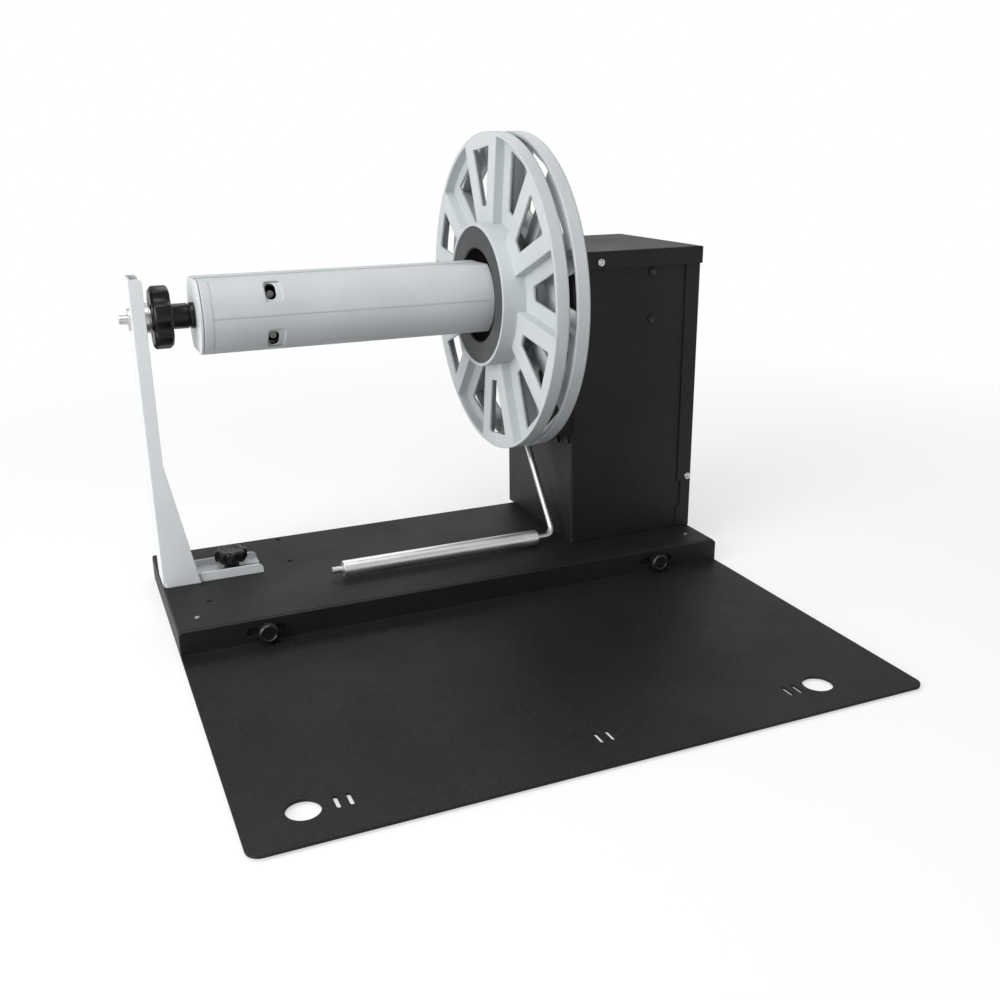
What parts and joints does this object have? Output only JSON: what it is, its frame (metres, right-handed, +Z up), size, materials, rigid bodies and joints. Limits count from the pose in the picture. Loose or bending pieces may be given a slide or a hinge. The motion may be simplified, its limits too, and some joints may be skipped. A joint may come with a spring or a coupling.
{
  "type": "manual label rewinder",
  "caption": "Bench-top roll rewinder: expanding mandrel between a support arm and a tower, two flanges, hand crank, swinging tension roller and a flat front plate.",
  "frame": {"origin": "middle of the footprint's box, on the bench", "axes": "+X along the spindle from the support arm to the crank, +Y from the front plate to the back, +Z up"},
  "size_m": [0.6194, 0.567, 0.415],
  "materials": {
    "black_paint": "fine textured black powder coat",
    "grey_paint": "smooth light grey paint",
    "grey_plastic": "matte light grey moulding",
    "black_plastic": "satin black plastic",
    "dark_rubber": "dull dark grey rubber",
    "steel": "bright steel",
    "aluminium": "satin aluminium",
    "black_steel": "blackened steel",
    "felt": "pressed wool felt"
  },
  "bodies": {
    "stand": {"base_tray": "black_paint", "rubber_feet": "dark_rubber", "base_top_screws": "steel", "thumb_inserts": "steel", "clamp_insert": "steel", "tower_frame": "black_paint", "side_cover": "black_paint", "tower_lid": "black_paint", "lid_screws": "steel", "cover_screws": "steel", "cover_inserts": "steel", "bracket_screws": "black_steel", "tower_bolts": "steel", "bearing_bracket": "steel", "wall_bearing_housing": "aluminium", "housing_screws": "black_steel", "bearing_outer_rings": "steel", "bearing_balls": "steel", "swing_pivot_stud": "steel", "swing_pivot_nut": "steel", "swing_stop_pin": "steel", "wall_screws": "black_steel", "wall_plate": "steel"},
    "plate": {"front_plate": "black_paint", "plate_feet": "dark_rubber"},
    "spindle": {"spindle_shaft": "steel", "mandrel_core": "aluminium", "mandrel_end_plate": "grey_paint", "end_plate_screws": "steel", "shell_guide_screws": "black_steel", "inner_flange": "grey_plastic", "inner_flange_hub": "aluminium", "bearing_inner_rings": "steel", "shaft_collars": "steel", "drag_washer": "felt", "crank_arm": "steel", "crank_hub": "steel", "crank_bolt": "steel", "grip_pin": "steel", "knob_washer": "steel"},
    "grip": {"crank_grip": "black_plastic"},
    "knob": {"star_knob": "black_plastic", "knob_sleeve": "steel"},
    "wedge": {"wedge_carrier": "steel"},
    "shell_front": {"front_shell": "grey_plastic"},
    "shell_rear": {"rear_shell": "grey_plastic"},
    "flange": {"outer_flange": "grey_plastic", "grip_ring": "dark_rubber"},
    "arm": {"support_arm": "grey_paint", "arm_bush": "steel"},
    "clamp": {"clamp_knob": "black_plastic", "clamp_stud": "steel", "clamp_cap": "dark_rubber"},
    "thumb_left": {"left_thumb_screw": "black_plastic"},
    "thumb_right": {"right_thumb_screw": "black_plastic"},
    "swing": {"swing_rod": "steel", "swing_boss": "steel", "rod_clips": "steel"},
    "roller": {"roller_tube": "aluminium", "roller_bushes": "dark_rubber"}
  },
  "joints": [
    {"name": "spindle_turn", "type": "hinge", "parent": "stand", "child": "spindle", "pos_m": [0.13825, 0.1335, 0.265], "axis": [1, 0, 0], "continuous": true},
    {"name": "grip_spin", "type": "hinge", "parent": "spindle", "child": "grip", "pos_m": [0.24175, 0.2135, 0.265], "axis": [1, 0, 0], "continuous": true},
    {"name": "knob_turn", "type": "hinge", "parent": "spindle", "child": "knob", "pos_m": [-0.27175, 0.1335, 0.265], "axis": [1, 0, 0], "range_deg": [0, 1080]},
    {"name": "wedge_slide", "type": "slide", "parent": "spindle", "child": "wedge", "axis": [1, 0, 0], "range_m": [0, 0.006]},
    {"name": "front_shell_slide", "type": "slide", "parent": "spindle", "child": "shell_front", "axis": [0, 1, 0], "range_m": [0, 0.003]},
    {"name": "rear_shell_slide", "type": "slide", "parent": "spindle", "child": "shell_rear", "axis": [0, -1, 0], "range_m": [0, 0.003]},
    {"name": "flange_slide", "type": "slide", "parent": "spindle", "child": "flange", "axis": [-1, 0, 0], "range_m": [0, 0.252]},
    {"name": "arm_slide", "type": "slide", "parent": "stand", "child": "arm", "axis": [-1, 0, 0], "range_m": [0, 0.025]},
    {"name": "clamp_turn", "type": "hinge", "parent": "stand", "child": "clamp", "pos_m": [-0.23625, 0.1285, 0.025], "axis": [0, 0, 1], "range_deg": [0, 720]},
    {"name": "left_thumb_turn", "type": "hinge", "parent": "stand", "child": "thumb_left", "pos_m": [-0.22925, 0.0055, 0.0145], "axis": [0, -1, 0], "range_deg": [0, 1080]},
    {"name": "right_thumb_turn", "type": "hinge", "parent": "stand", "child": "thumb_right", "pos_m": [0.15275, 0.0055, 0.0145], "axis": [0, -1, 0], "range_deg": [0, 1080]},
    {"name": "plate_slide", "type": "slide", "parent": "stand", "child": "plate", "axis": [1, 0, 0], "range_m": [-0.0137, 0.0137]},
    {"name": "roller_swing", "type": "hinge", "parent": "stand", "child": "swing", "pos_m": [0.06925, 0.1585, 0.154], "axis": [-1, 0, 0], "range_deg": [0, 45]},
    {"name": "roller_spin", "type": "hinge", "parent": "swing", "child": "roller", "pos_m": [-0.04775, 0.065, 0.034], "axis": [1, 0, 0], "continuous": true}
  ],
  "couplings": [
    {"joint": "knob_turn", "follows": "wedge_slide", "rad_per_m": 3141.6},
    {"joint": "front_shell_slide", "follows": "wedge_slide", "ratio": 0.5},
    {"joint": "rear_shell_slide", "follows": "wedge_slide", "ratio": 0.5}
  ]
}
